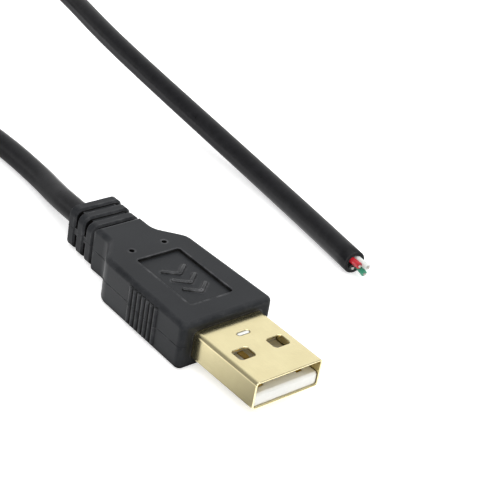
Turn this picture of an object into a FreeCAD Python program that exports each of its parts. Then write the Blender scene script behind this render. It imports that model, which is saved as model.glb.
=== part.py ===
import FreeCAD, Part
import math
import os

import Sketcher
from FreeCAD import Placement, Rotation, Vector

# A usb cable with a type A plug at one end and four cut conductors at the other.
#
# Millimetres, +Z up. The nose of the plug points to -Y and the cord leaves it towards +Y. The plug
# lies flat on the plane z = 0, and the origin is under its middle. Inside the plug every piece is
# drawn in one common plug frame, whose y = 0 is the front face of the overmould and whose z = 0 is
# the middle of the shell. The finished piece is then placed on the ground plane.

# The driving sizes: name, value in millimetres, what it measures
SIZES = [
    ("shell_width", 12.0, "metal shell, outside, across"),
    ("shell_height", 4.5, "metal shell, outside, upright"),
    ("shell_sheet", 0.3, "thickness of the shell's sheet"),
    ("shell_bend", 0.6, "outside radius of the shell's folds"),
    ("shell_exposed", 13.2, "shell in front of the overmould"),
    ("shell_buried", 5.8, "shell inside the overmould"),
    ("window_width", 2.8, "latch window, across"),
    ("window_length", 2.3, "latch window, lengthwise"),
    ("window_corner", 0.5, "corner radius of a latch window"),
    ("sheet_bevel", 0.08, "bevelled edge of the sheet at the mouth, windows and slot"),
    ("window_spread", 6.2, "between the centres of the two windows"),
    ("window_setback", 6.2, "nose edge to the window centres"),
    ("slot_width", 2.2, "oblong slot in the top sheet, across"),
    ("slot_length", 0.75, "oblong slot, lengthwise"),
    ("slot_setback", 3.2, "overmould's face to the slot's centre"),
    ("seam_gap", 0.08, "open seam where the folded sheet meets itself"),
    ("strap_width", 3.0, "tail strap from the shell to its crimp"),
    ("crimp_setback", 0.7, "stripped end of the jacket to the crimp"),
    ("crimp_length", 3.5, "crimp, lengthwise"),
    ("crimp_gap", 0.05, "clearance between crimp and jacket"),
    ("crimp_angle", 300.0, "how far the crimp wraps round, in degrees"),
    ("tongue_height", 1.9, "insulator tongue, upright"),
    ("tongue_inset", 0.3, "nose edge to the tongue's front"),
    ("tongue_chamfer", 0.3, "bevel of the tongue's front upper edge"),
    ("insulator_gap", 0.1, "clearance beside the insulator, each side"),
    ("block_lip", 0.6, "insulator's full block in front of the slot"),
    ("block_inset", 1.0, "end of the shell to the end of the insulator inside it"),
    ("bump_gap", 0.1, "clearance round the bump in the slot"),
    ("bump_height", 0.25, "bump above the block"),
    ("contact_width", 1.0, "contact strip, across"),
    ("contact_thick", 0.25, "contact strip, upright"),
    ("contact_proud", 0.05, "contact above the tongue"),
    ("contact_gap", 0.05, "clearance round a contact in its groove"),
    ("contact_ramp", 0.5, "sloped front of a contact"),
    ("contact_inner", 1.0, "middle line to an inner contact"),
    ("contact_outer", 3.5, "middle line to an outer contact"),
    ("inner_setback", 2.6, "nose edge to the inner grooves"),
    ("outer_setback", 1.6, "nose edge to the outer grooves"),
    ("contact_tail", 2.6, "contact behind the insulator"),
    ("solder_radius", 0.55, "solder joint, rounded top"),
    ("solder_length", 1.8, "solder joint, lengthwise"),
    ("solder_setback", 0.4, "insulator to the solder joint"),
    ("cable_diameter", 3.8, "jacket, outside"),
    ("jacket_wall", 0.6, "wall of the jacket"),
    ("wire_run", 5.9, "contact tail to the stripped end of the jacket"),
    ("wire_gather", 1.95, "from where the conductors come together to the jacket"),
    ("wire_diameter", 1.04, "insulated conductor"),
    ("wire_gap", 0.02, "half the play between neighbouring conductors"),
    ("core_diameter", 0.5, "bare conductor"),
    ("strip_gap", 0.2, "contact tail to the conductor's insulation"),
    ("core_seat", 0.4, "how far a bare conductor is drawn into its insulation"),
    ("core_gap", 0.01, "play between a bare conductor and its insulation"),
    ("mould_side", 0.5, "wall of the inner moulding beside the shell"),
    ("mould_cover", 0.65, "wall of the inner moulding above and below the shell"),
    ("mould_start", 0.8, "overmould's front wall"),
    ("mould_tail", 0.5, "inner moulding behind the crimp"),
    ("mould_gap", 0.05, "clearance of the inner moulding round the crimp"),
    ("room_gap", 0.5, "room beside the outer contacts in the inner moulding"),
    ("side_wall", 1.1, "overmould's thinnest wall at the sides"),
    ("cover_wall", 0.85, "overmould's wall above and below"),
    ("end_wall", 1.25, "inner moulding to the start of the shoulders"),
    ("body_taper", 1.1, "how much wider the overmould is at its front"),
    ("shoulder_length", 3.95, "shoulders, lengthwise"),
    ("shoulder_radius", 2.8, "rounding of both bends of a shoulder"),
    ("neck_width", 8.3, "neck behind the shoulders, across"),
    ("neck_length", 3.5, "plain neck between shoulders and ribs"),
    ("relief_width", 8.7, "ribs of the strain relief, across"),
    ("relief_height", 6.9, "ribs of the strain relief, upright"),
    ("corner_radius", 1.0, "upright front corners of the overmould"),
    ("edge_radius", 0.8, "long edges of the overmould"),
    ("rib_count", 3, "ribs of the strain relief"),
    ("rib_pitch", 2.6, "from one rib to the next"),
    ("relief_drop", 0.25, "middle of the ribs below the middle of the plug"),
    ("rib_lean", 0.25, "how far the bent cord draws each rib sideways, from the one before"),
    ("rib_corner", 1.3, "corner radius of a rib, seen along the cord"),
    ("rib_bevel", 0.3, "bevelled edges of a rib"),
    ("groove_width", 0.8, "groove before each rib, lengthwise"),
    ("groove_top", 0.45, "depth of a groove above and below"),
    ("groove_side", 1.4, "depth of a groove at the sides"),
    ("bridge_inset", 0.25, "bridge below the surface of the ribs"),
    ("bridge_height", 1.1, "bridge across each groove at half height"),
    ("panel_width", 7.7, "recessed panel, across"),
    ("panel_front", 4.0, "front face to the panel"),
    ("panel_length", 12.7, "recessed panel, lengthwise"),
    ("panel_depth", 0.4, "depth of the panel"),
    ("panel_corner", 0.4, "corner radius of the panel"),
    ("pin_diameter", 0.8, "holes left by the moulding pins"),
    ("pin_spread", 5.9, "between the two pin holes"),
    ("pin_setback", 2.4, "panel's far end to the pin holes"),
    ("pin_depth", 1.0, "depth of the pin holes"),
    ("ridge_count", 7, "grip ridges on each side"),
    ("ridge_first", 6.3, "front face to the first ridge"),
    ("ridge_pitch", 1.0, "from one ridge to the next"),
    ("ridge_height", 6.0, "grip ridge, upright"),
    ("ridge_radius", 0.42, "rounding of a ridge"),
    ("ridge_proud", 0.28, "ridge beyond the side"),
    ("bore_gap", 0.03, "clearance round the cable in the strain relief"),
    ("coil_radius", 26.1, "centre line of the coil's outermost turn"),
    ("coil_turns", 2.75, "turns in each of the coil's two layers"),
    ("coil_x", 20.0, "centre of the coil, sideways"),
    ("coil_reach", 119.5, "end of the strain relief to the coil's centre"),
    ("coil_bite", 0.2, "how far the tubes' ends sit inside the coil's outline"),
    ("tie_thick", 0.6, "strap round the coil, thickness"),
    ("tie_width", 6.0, "strap round the coil, width"),
    ("tie_gap", 0.05, "clearance between strap and coil, sideways"),
    ("end_bore", 5.0, "how far the cut conductors run back into the jacket"),
    ("core_bare", 0.25, "bare tip of a cut conductor"),
]

# Where the free stretches of the cord run: across, beyond the end of the strain relief, above ground
LEAD_ROUTE = [(0.3, 4.75, 3.5), (1.55, 10.55, 2.55), (2.85, 16.75, 1.92), (3.35, 28.5, 1.92),
              (2.0, 47.5, 1.92), (-1.6, 73.5, 2.1), (-6.1, 97.5, 2.5)]
TAIL_ROUTE = [(46.0, 101.5, 7.2), (44.0, 82.5, 8.4), (40.6, 64.5, 8.8), (38.3, 49.5, 7.75),
              (37.5, 31.5, 5.85), (37.35, 13.5, 3.65), (36.5, -3.5, 2.12), (34.7, -16.5, 1.92),
              (33.0, -26.5, 1.92)]
MOUTH_SHARE = 0.3      # a cut conductor bends after this share of its free length
ARC_SHARE = 0.45       # an arc takes this share of the shorter of its two runs

# The conductors in the plug: colour, contact, side, place in the bundle (across, up)
CONDUCTORS = [
    ("red", "contact_outer", 1, (1, 1)),
    ("white", "contact_inner", 1, (1, -1)),
    ("green", "contact_inner", -1, (-1, -1)),
    ("black", "contact_outer", -1, (-1, 1)),
]

# The cut conductors: colour, place in the bundle (across, up), length, lean at the tip (across, up)
CUT_ENDS = [
    ("red", -1, 1, 1.9, (0.1, 0.05)),
    ("black", -1, -1, 0.5, (-0.03, -0.03)),
    ("green", 1, -1, 2.2, (0.1, -0.35)),
    ("white", 1, 1, 2.5, (0.25, -0.1)),
]

doc = FreeCAD.newDocument("usb_cable")
sheet = doc.addObject("Spreadsheet::Sheet", "Sizes")
for row, (alias, number, note) in enumerate(SIZES, start=1):
    sheet.set(f"A{row}", note)
    sheet.set(f"B{row}", str(number))
    sheet.setAlias(f"B{row}", alias)
doc.recompute()


def term(text):
    """The names of the sheet in a formula, with the sheet's name put before each."""
    words = sorted({alias for alias, _, _ in SIZES}, key=len, reverse=True)
    marked = text
    for number, word in enumerate(words):
        marked = marked.replace(word, f"<{number}>")
    for number, word in enumerate(words):
        marked = marked.replace(f"<{number}>", f"Sizes.{word}")
    return marked


def size(text):
    """The value of a formula written with the sheet's names."""
    return float(sheet.evalExpression(term(text)))


def bind(thing, target, text):
    """Ties a property to a formula written with the sheet's names."""
    thing.setExpression(target, term(text))


# Formulas that several pieces share
INNER_TOP = "(shell_height / 2 - shell_sheet)"
TONGUE_TOP = f"(tongue_height - {INNER_TOP})"
CONTACT_TOP = f"({TONGUE_TOP} + contact_proud)"
GROOVE_FLOOR = f"({CONTACT_TOP} - contact_thick)"
BLOCK_FRONT = "(-slot_setback - slot_length / 2 - block_lip)"
BLOCK_BACK = "(shell_buried - block_inset)"
TAIL_END = f"({BLOCK_BACK} + contact_tail)"
JACKET_START = f"({TAIL_END} + wire_run)"
CRIMP_START = f"({JACKET_START} + crimp_setback)"
CRIMP_RADIUS = "(cable_diameter / 2 + crimp_gap)"
MOULD_END = f"({CRIMP_START} + crimp_length + mould_tail)"
MOULD_WIDTH = "(shell_width + 2 * mould_side)"
MOULD_HEIGHT = "(shell_height + 2 * mould_cover)"
BODY_HEIGHT = f"({MOULD_HEIGHT} + 2 * cover_wall)"
SHOULDER_WIDTH = f"({MOULD_WIDTH} + 2 * side_wall)"
BODY_WIDTH = f"({SHOULDER_WIDTH} + body_taper)"
SHOULDER_START = f"({MOULD_END} + end_wall)"
SHOULDER_END = f"({SHOULDER_START} + shoulder_length)"
RELIEF_SHIFT = "(2 * rib_lean)"
PIN_PLACE = "(panel_front + panel_length + pin_setback)"
RELIEF_START = f"({SHOULDER_END} + neck_length)"
BODY_LENGTH = f"({RELIEF_START} + rib_count * rib_pitch)"
BUNDLE = "(wire_diameter / 2 + wire_gap)"
CORE_HEIGHT = f"({CONTACT_TOP} + core_diameter / 2)"
PLUG_Y = f"((shell_exposed - {BODY_LENGTH}) / 2)"
PLUG_Z = f"({BODY_HEIGHT} / 2)"
EXIT_Y = f"({BODY_LENGTH} + {PLUG_Y})"
COIL_Y = f"({EXIT_Y} + coil_reach)"
COIL_INNER = "(coil_radius - coil_turns * cable_diameter - cable_diameter / 2)"
COIL_OUTER = "(coil_radius + cable_diameter / 2)"

nodes = {}


def finish(name, thing, in_plug=True):
    """Names a sub-part and, for a piece of the plug, sets it on the ground plane."""
    thing.Label = name
    if in_plug:
        bind(thing, "Placement.Base.y", PLUG_Y)
        bind(thing, "Placement.Base.z", PLUG_Z)
    nodes[name] = thing
    return thing


# Sketches and features
def new_body(name):
    return doc.addObject("PartDesign::Body", name)


def origin_part(body, role):
    return next(item for item in body.Origin.OriginFeatures if item.Role == role)


def new_sketch(body, name, role, offset=None):
    """A sketch on one of the body's own origin planes, moved along the plane's normal."""
    sketch = body.newObject("Sketcher::SketchObject", name)
    sketch.AttachmentSupport = [(origin_part(body, role), "")]
    sketch.MapMode = "FlatFace"
    if offset:
        bind(sketch, "AttachmentOffset.Base.z", offset)
    return sketch


def tie_corner(sketch, kind, line, text):
    """Ties one coordinate of a line's start to a formula."""
    number = size(text)
    if abs(number) < 1e-9:
        axis = -2 if kind == "DistanceX" else -1
        sketch.addConstraint(Sketcher.Constraint("PointOnObject", line, 1, axis))
        return
    if number > 0:
        index = sketch.addConstraint(Sketcher.Constraint(kind, -1, 1, line, 1, number))
        bind(sketch, f"Constraints[{index}]", text)
        return
    index = sketch.addConstraint(Sketcher.Constraint(kind, line, 1, -1, 1, -number))
    bind(sketch, f"Constraints[{index}]", f"-({text})")


def outline(sketch, corners):
    """A closed outline of straight lines whose corners are tied to formulas."""
    first = sketch.GeometryCount
    count = len(corners)
    places = [Vector(size(across), size(along), 0) for across, along in corners]
    for index in range(count):
        sketch.addGeometry(Part.LineSegment(places[index], places[(index + 1) % count]), False)
    for index in range(count):
        after = first + (index + 1) % count
        sketch.addConstraint(Sketcher.Constraint("Coincident", first + index, 2, after, 1))
    for index, (across, along) in enumerate(corners):
        tie_corner(sketch, "DistanceX", first + index, across)
        tie_corner(sketch, "DistanceY", first + index, along)


def rectangle(sketch, left, right, low, high):
    outline(sketch, [(left, low), (right, low), (right, high), (left, high)])


def extrude(body, kind, sketch, length=None, symmetric=False, backwards=False):
    """A pad or pocket; without a length it goes through everything."""
    feature = body.newObject(f"PartDesign::{kind}", f"{sketch.Name}_{kind}")
    feature.Profile = sketch
    if length:
        bind(feature, "Length", length)
    else:
        feature.Type = "ThroughAll"
    if symmetric:
        feature.SideType = "Symmetric"
    feature.Reversed = backwards
    sketch.Visibility = False
    doc.recompute()
    return feature


def along(edge, axis):
    """True for a straight edge that runs along an axis."""
    if len(edge.Vertexes) != 2:
        return False
    step = edge.Vertexes[1].Point - edge.Vertexes[0].Point
    return abs(step.Length - edge.Length) < 1e-6 and abs(abs(step.dot(axis)) - step.Length) < 1e-6


def dress(body, kind, name, picked, amount):
    """Rounds or bevels the edges of the body's tip that the test picks."""
    base = body.Tip
    edges = [f"Edge{index}" for index, edge in enumerate(base.Shape.Edges, start=1) if picked(edge)]
    feature = body.newObject(f"PartDesign::{kind}", name)
    feature.Base = (base, edges)
    bind(feature, "Radius" if kind == "Fillet" else "Size", amount)
    doc.recompute()
    return feature


# The folded metal shell
def shell_section(body, name, offset):
    """The outline of the folded sheet's outside, to be extruded lengthwise."""
    sketch = new_sketch(body, name, "XZ_Plane", offset)
    rectangle(sketch, "-shell_width / 2", "shell_width / 2", "-shell_height / 2", "shell_height / 2")
    return sketch


def make_shell():
    """One sheet folded into a tube, with windows, an oblong slot, a strap and a crimp."""
    body = new_body("plug_shell")
    length = "shell_exposed + shell_buried"
    lengthwise = Vector(0, 1, 0)
    extrude(body, "Pad", shell_section(body, "shell_outside", "shell_exposed"), length, backwards=True)
    dress(body, "Fillet", "shell_folds", lambda edge: along(edge, lengthwise), "shell_bend")
    hollow = new_sketch(body, "shell_hollow", "XZ_Plane", "shell_exposed")
    side = "(shell_width / 2 - shell_sheet)"
    rectangle(hollow, f"-{side}", side, f"-{INNER_TOP}", INNER_TOP)
    extrude(body, "Pocket", hollow, length)
    limit = size(side) + 1e-6
    dress(body, "Fillet", "shell_inner_folds",
          lambda edge: along(edge, lengthwise) and abs(abs(edge.CenterOfMass.x) - size(side)) < 1e-6
          and abs(abs(edge.CenterOfMass.z) - size(INNER_TOP)) < 1e-6 and edge.Length > limit,
          "shell_bend - shell_sheet")
    cut_windows(body)
    cut_slot_and_seam(body)
    soften_sheet(body)
    add_strap_and_crimp(body)
    return finish("plug_shell", body)


def cut_windows(body):
    """Two windows for the latch springs, in the top and the bottom sheet alike."""
    sketch = new_sketch(body, "latch_windows", "XY_Plane")
    centre = "(window_setback - shell_exposed)"
    for sign in ("-", ""):
        middle = f"({sign}window_spread / 2)"
        rectangle(sketch, f"{middle} - window_width / 2", f"{middle} + window_width / 2",
                  f"{centre} - window_length / 2", f"{centre} + window_length / 2")
    extrude(body, "Pocket", sketch, symmetric=True)
    dress(body, "Fillet", "window_corners",
          lambda edge: along(edge, Vector(0, 0, 1)) and edge.Length < size("shell_sheet") * 1.01
          and abs(edge.CenterOfMass.y - size(centre)) < size("window_length"), "window_corner")


def cut_slot_and_seam(body):
    """The oblong slot in the top sheet and the seam along the bottom sheet."""
    slot = new_sketch(body, "oblong_slot", "XY_Plane")
    centre = "(-slot_setback)"
    rectangle(slot, "-slot_width / 2", "slot_width / 2",
              f"{centre} - slot_length / 2", f"{centre} + slot_length / 2")
    extrude(body, "Pocket", slot, backwards=True)
    dress(body, "Fillet", "slot_ends",
          lambda edge: along(edge, Vector(0, 0, 1)) and edge.Length < size("shell_sheet") * 1.01
          and abs(edge.CenterOfMass.y - size(centre)) < size("slot_length"), "slot_length * 0.48")
    seam = new_sketch(body, "bottom_seam", "XY_Plane")
    rectangle(seam, "-seam_gap / 2", "seam_gap / 2", "-shell_exposed", "shell_buried")
    extrude(body, "Pocket", seam)


def soften_sheet(body):
    """Takes the sharp outer edge off the mouth, the windows and the slot."""
    mouth = size("sheet_bevel - shell_exposed")
    inside = Vector(size("shell_width / 2 - shell_sheet"), 0, size(INNER_TOP))
    places = [size("window_setback - shell_exposed"), size("-slot_setback")]
    reach = size("window_length")

    def rim(edge):
        box = edge.BoundBox
        outer = abs(box.Center.x) > inside.x or abs(box.Center.z) > inside.z
        if box.YMax < mouth:
            return outer
        opening = min(abs(box.Center.y - place) for place in places) < reach and box.YLength < reach
        return opening and abs(abs(box.Center.z) - size("shell_height / 2")) < 1e-6

    dress(body, "Chamfer", "softened_edges", rim, "sheet_bevel")


def add_strap_and_crimp(body):
    """The strap runs back from the top sheet and ends in the band crimped round the jacket."""
    strap = new_sketch(body, "tail_strap", "YZ_Plane")
    overlap = "(shell_buried - shell_sheet)"
    bend_start = "(shell_buried + shell_sheet)"
    bend_end = f"({CRIMP_START} - shell_sheet)"
    tip = f"({CRIMP_START} + shell_sheet)"
    outline(strap, [(overlap, INNER_TOP), (bend_start, INNER_TOP), (bend_end, CRIMP_RADIUS),
                    (tip, CRIMP_RADIUS), (tip, f"{CRIMP_RADIUS} + shell_sheet"),
                    (bend_end, f"{CRIMP_RADIUS} + shell_sheet"), (bend_start, "shell_height / 2"),
                    (overlap, "shell_height / 2")])
    extrude(body, "Pad", strap, "strap_width", symmetric=True)
    band = new_sketch(body, "crimp_band", "YZ_Plane")
    rectangle(band, CRIMP_START, f"{CRIMP_START} + crimp_length",
              CRIMP_RADIUS, f"{CRIMP_RADIUS} + shell_sheet")
    turn = body.newObject("PartDesign::Revolution", "crimp_turn")
    turn.Profile = band
    turn.ReferenceAxis = (band, ["H_Axis"])
    bind(turn, "Angle", "crimp_angle")
    turn.Midplane = True
    doc.recompute()


# The white insulator with its four grooves
def make_insulator():
    """A full block at the back and a tongue in the lower half of the shell."""
    body = new_body("plug_insulator")
    front = "(tongue_inset - shell_exposed)"
    side = new_sketch(body, "insulator_side", "YZ_Plane")
    outline(side, [(front, f"-{INNER_TOP}"), (BLOCK_BACK, f"-{INNER_TOP}"),
                   (BLOCK_BACK, INNER_TOP), (BLOCK_FRONT, INNER_TOP),
                   (BLOCK_FRONT, TONGUE_TOP), (front, TONGUE_TOP)])
    half = "(shell_width / 2 - shell_sheet - insulator_gap)"
    extrude(body, "Pad", side, f"2 * {half}", symmetric=True)
    dress(body, "Fillet", "insulator_corners",
          lambda edge: along(edge, Vector(0, 1, 0))
          and abs(abs(edge.CenterOfMass.z) - size(INNER_TOP)) < 1e-6, "shell_bend - shell_sheet")
    dress(body, "Chamfer", "tongue_bevel",
          lambda edge: along(edge, Vector(1, 0, 0))
          and abs(edge.CenterOfMass.y - size(front)) < 1e-6
          and abs(edge.CenterOfMass.z - size(TONGUE_TOP)) < 1e-6, "tongue_chamfer")
    for place, setback in (("contact_inner", "inner_setback"), ("contact_outer", "outer_setback")):
        cut_grooves(body, place, setback)
    bump = new_sketch(body, "latch_bump", "XY_Plane", INNER_TOP)
    centre = "(-slot_setback)"
    across = "(slot_width / 2 - bump_gap)"
    reach = "(slot_length / 2 - bump_gap)"
    rectangle(bump, f"-{across}", across, f"{centre} - {reach}", f"{centre} + {reach}")
    extrude(body, "Pad", bump, "bump_height")
    dress(body, "Fillet", "bump_ends",
          lambda edge: along(edge, Vector(0, 0, 1)) and edge.CenterOfMass.z > size(INNER_TOP),
          f"{reach} * 0.96")
    return finish("plug_insulator", body)


def cut_grooves(body, place, setback):
    """A pair of grooves along the tongue that go on as tunnels through the block."""
    sketch = new_sketch(body, f"{place}_grooves", "XZ_Plane", f"shell_exposed - {setback}")
    reach = "(contact_width / 2 + contact_gap)"
    for sign in ("-", ""):
        rectangle(sketch, f"{sign}{place} - {reach}", f"{sign}{place} + {reach}",
                  GROOVE_FLOOR, f"{CONTACT_TOP} + contact_gap")
    extrude(body, "Pocket", sketch, f"shell_exposed - {setback} + {BLOCK_BACK}")


# Contacts, solder joints and conductors
def make_contact(name, place, sign, setback):
    """A flat strip in its groove, with a sloped front and a tail to solder to."""
    body = new_body(name)
    front = f"({setback} - shell_exposed + contact_gap)"
    side = new_sketch(body, f"{name}_side", "YZ_Plane")
    outline(side, [(front, GROOVE_FLOOR), (TAIL_END, GROOVE_FLOOR), (TAIL_END, CONTACT_TOP),
                   (f"{front} + contact_ramp", CONTACT_TOP),
                   (front, f"{GROOVE_FLOOR} + contact_thick / 3")])
    extrude(body, "Pad", side, "contact_width", symmetric=True)
    bind(body, "Placement.Base.x", f"{sign} * {place}")
    return finish(name, body)


def place_along_y(thing, across, start, height):
    """Sets a cylinder's axis along the plug, from its start towards the nose."""
    thing.Placement = Placement(Vector(0, 0, 0), Rotation(Vector(1, 0, 0), 90))
    bind(thing, "Placement.Base.x", across)
    bind(thing, "Placement.Base.y", start)
    bind(thing, "Placement.Base.z", height)


def make_solder(name, place, sign):
    """A rounded joint on the contact's tail, round the end of the bare conductor."""
    across = f"{sign} * {place}"
    end = f"({BLOCK_BACK} + solder_setback + solder_length)"
    dome = doc.addObject("Part::Cylinder", f"{name}_dome")
    bind(dome, "Radius", "solder_radius")
    bind(dome, "Height", "solder_length")
    dome.Angle = 180
    place_along_y(dome, across, end, CONTACT_TOP)
    core = doc.addObject("Part::Cylinder", f"{name}_core_room")
    bind(core, "Radius", "core_diameter / 2")
    bind(core, "Height", "solder_length - solder_setback")
    place_along_y(core, across, end, CORE_HEIGHT)
    joint = doc.addObject("Part::Cut", name)
    joint.Base = dome
    joint.Tool = core
    return finish(name, joint)


def rounded_route(points):
    """Straight runs joined by tangent arcs, and the arcs' radii."""
    edges = []
    radii = []
    start = points[0]
    for before, corner, after in zip(points, points[1:], points[2:]):
        back = before - corner
        ahead = after - corner
        reach = ARC_SHARE * min(back.Length, ahead.Length)
        back.normalize()
        ahead.normalize()
        half_turn = (math.pi - back.getAngle(ahead)) / 2
        radius = reach / math.tan(half_turn)
        enter = corner + back * reach
        leave = corner + ahead * reach
        inward = (back + ahead).normalize()
        middle = corner + inward * (radius / math.cos(half_turn) - radius)
        edges.append(Part.LineSegment(start, enter).toShape())
        edges.append(Part.Arc(enter, middle, leave).toShape())
        radii.append(radius)
        start = leave
    edges.append(Part.LineSegment(start, points[-1]).toShape())
    return Part.Wire(edges), radii


def tube(points, radius):
    """A solid round tube along a rounded route."""
    path, radii = rounded_route(points)
    ring = Part.Wire(Part.makeCircle(radius, points[0], points[1] - points[0]))
    solid = path.makePipeShell([ring], True, False)
    expected = math.pi * radius ** 2 * path.Length
    if abs(solid.Volume / expected - 1) > 0.01:
        raise ValueError(f"a tube holds {solid.Volume:.1f} cubic mm, not {expected:.1f}")
    return solid, path.Length, radii


def shape_node(name, shape, in_plug):
    """A sub-part whose shape is worked out above."""
    feature = doc.addObject("Part::Feature", name)
    feature.Shape = shape
    return finish(name, feature, in_plug)


def core_stub(tip, ahead, bare, clearance=0.0):
    """A straight bare conductor: from its tip back to its seat in the insulation."""
    radius = size("core_diameter / 2") + clearance
    length = bare + size("core_seat") + clearance
    return Part.makeCylinder(radius, length, tip - ahead * length, ahead)


def make_conductor(name, route, ahead, bare, in_plug):
    """Insulation along a route that starts where it was stripped, and the bare conductor's tip."""
    tip = route[0] + ahead * bare
    core = core_stub(tip, ahead, bare)
    room = core_stub(tip, ahead, bare, size("core_gap"))
    sleeve = tube(route, size("wire_diameter / 2"))[0]
    shape_node(f"{name}_core", core, in_plug)
    shape_node(f"{name}_insulation", sleeve.cut(room), in_plug)


def make_plug_conductor(colour, place, sign, bundle):
    """A conductor from its solder joint into the jacket and on to the end of the plug."""
    half = size(BUNDLE)
    across = sign * size(place)
    height = size(CORE_HEIGHT)
    joint_y = size(f"{BLOCK_BACK} + solder_setback * 2")
    stripped = Vector(across, size(f"{TAIL_END} + strip_gap"), height)
    leave = Vector(across, stripped.y + size("wire_diameter"), height)
    early = size("wire_diameter") if place == "contact_inner" else 0
    together = size(f"{JACKET_START} - wire_gather") - early
    gather = Vector(bundle[0] * half, together, bundle[1] * half)
    rear = Vector(gather.x, size(BODY_LENGTH), gather.z)
    route = [stripped, leave, gather, rear]
    make_conductor(f"wire_{colour}", route, Vector(0, -1, 0), stripped.y - joint_y, True)


def make_jacket_inside():
    """The end of the cable's jacket that the crimp and the strain relief hold."""
    parts = {}
    for name, radius in (("jacket_outside", "cable_diameter / 2"),
                         ("jacket_room", "cable_diameter / 2 - jacket_wall")):
        parts[name] = doc.addObject("Part::Cylinder", name)
        bind(parts[name], "Radius", radius)
        bind(parts[name], "Height", f"{BODY_LENGTH} - {JACKET_START}")
        place_along_y(parts[name], "0", BODY_LENGTH, "0")
    jacket = doc.addObject("Part::Cut", "plug_jacket_end")
    jacket.Base = parts["jacket_outside"]
    jacket.Tool = parts["jacket_room"]
    return finish("plug_jacket_end", jacket)


# Inner moulding and overmould
def plug_box(name, width, height, start, end):
    """A box centred on the plug's axis, from one place along it to another."""
    box = doc.addObject("Part::Box", name)
    bind(box, "Length", width)
    bind(box, "Width", f"{end} - {start}")
    bind(box, "Height", height)
    bind(box, "Placement.Base.x", f"-({width}) / 2")
    bind(box, "Placement.Base.y", start)
    bind(box, "Placement.Base.z", f"-({height}) / 2")
    return box


def shell_plug(name, start, end):
    """The solid that fills the shell's outside, from one place along the plug to another."""
    body = new_body(name)
    section = shell_section(body, f"{name}_section", f"-({start})")
    extrude(body, "Pad", section, f"{end} - ({start})", backwards=True)
    dress(body, "Fillet", f"{name}_folds", lambda edge: along(edge, Vector(0, 1, 0)), "shell_bend")
    return body


def make_inner_mould():
    """The moulding over the shell's rear, with room for the solder joints and the crimp."""
    block = plug_box("mould_block", MOULD_WIDTH, MOULD_HEIGHT, "mould_start", MOULD_END)
    room = plug_box("mould_room", "2 * (contact_outer + contact_width / 2 + room_gap)",
                    "shell_height", "shell_buried", f"({CRIMP_START} + shell_sheet)")
    seat = shell_plug("mould_seat", "mould_start", "shell_buried")
    bore = doc.addObject("Part::Cylinder", "mould_bore")
    bind(bore, "Radius", f"{CRIMP_RADIUS} + shell_sheet + mould_gap")
    bind(bore, "Height", f"{MOULD_END} - {CRIMP_START}")
    place_along_y(bore, "0", MOULD_END, "0")
    hollow = doc.addObject("Part::MultiFuse", "mould_hollow")
    hollow.Shapes = [room, seat, bore]
    mould = doc.addObject("Part::Cut", "inner_mould")
    mould.Base = block
    mould.Tool = hollow
    return finish("inner_mould", mould)


def overmould_plan(body):
    """The outline from above: a slight taper, two shoulders and a slim neck."""
    sketch = new_sketch(body, "overmould_plan", "XY_Plane")
    half = [(f"{BODY_WIDTH} / 2", "0"), (f"{SHOULDER_WIDTH} / 2", SHOULDER_START),
            ("neck_width / 2", SHOULDER_END), ("neck_width / 2", RELIEF_START)]
    other = [(f"-({across})", along_y) for across, along_y in reversed(half)]
    outline(sketch, half + other)
    extrude(body, "Pad", sketch, BODY_HEIGHT, symmetric=True)


def round_plan(body):
    """Rounds the front corners and both bends of each shoulder."""
    upright = Vector(0, 0, 1)
    dress(body, "Fillet", "front_corners",
          lambda edge: along(edge, upright) and abs(edge.CenterOfMass.y) < 1e-6, "corner_radius")
    bends = (size(SHOULDER_START), size(SHOULDER_END))
    dress(body, "Fillet", "shoulder_bends",
          lambda edge: along(edge, upright)
          and min(abs(edge.CenterOfMass.y - bend) for bend in bends) < 1e-6, "shoulder_radius")


def round_long_edges(body):
    """Rounds every edge round the top and the bottom."""
    flat = size(f"{BODY_HEIGHT} / 2") - 1e-6
    dress(body, "Fillet", "long_edges", lambda edge: abs(edge.CenterOfMass.z) > flat, "edge_radius")


def leaning_bar(body, name, width, height):
    """A bar from the neck to the cable's exit, drawn sideways like the ribs."""
    sketch = new_sketch(body, name, "XY_Plane")
    far_shift = f"({RELIEF_SHIFT} + rib_lean * (rib_count - 1))"
    outline(sketch, [(f"{RELIEF_SHIFT} - ({width}) / 2", RELIEF_START),
                     (f"{RELIEF_SHIFT} + ({width}) / 2", RELIEF_START),
                     (f"{far_shift} + ({width}) / 2", BODY_LENGTH),
                     (f"{far_shift} - ({width}) / 2", BODY_LENGTH)])
    bind(sketch, "AttachmentOffset.Base.z", "-relief_drop")
    extrude(body, "Pad", sketch, height, symmetric=True)


def add_ribs(body):
    """Rounded ribs on a slimmer core; a bridge at half height joins them on each side."""
    leaning_bar(body, "relief_core", "relief_width - 2 * groove_side",
                "relief_height - 2 * groove_top")
    for number in range(int(size("rib_count"))):
        start = f"({RELIEF_START} + groove_width + rib_pitch * {number})"
        middle = f"({RELIEF_SHIFT} + rib_lean * {number})"
        sketch = new_sketch(body, f"rib{number}", "XZ_Plane", f"-{start}")
        rectangle(sketch, f"{middle} - relief_width / 2", f"{middle} + relief_width / 2",
                  "-relief_height / 2 - relief_drop", "relief_height / 2 - relief_drop")
        extrude(body, "Pad", sketch, "rib_pitch - groove_width", backwards=True)
    round_ribs(body)
    leaning_bar(body, "rib_bridge", "relief_width - 2 * bridge_inset", "bridge_height")


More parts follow.
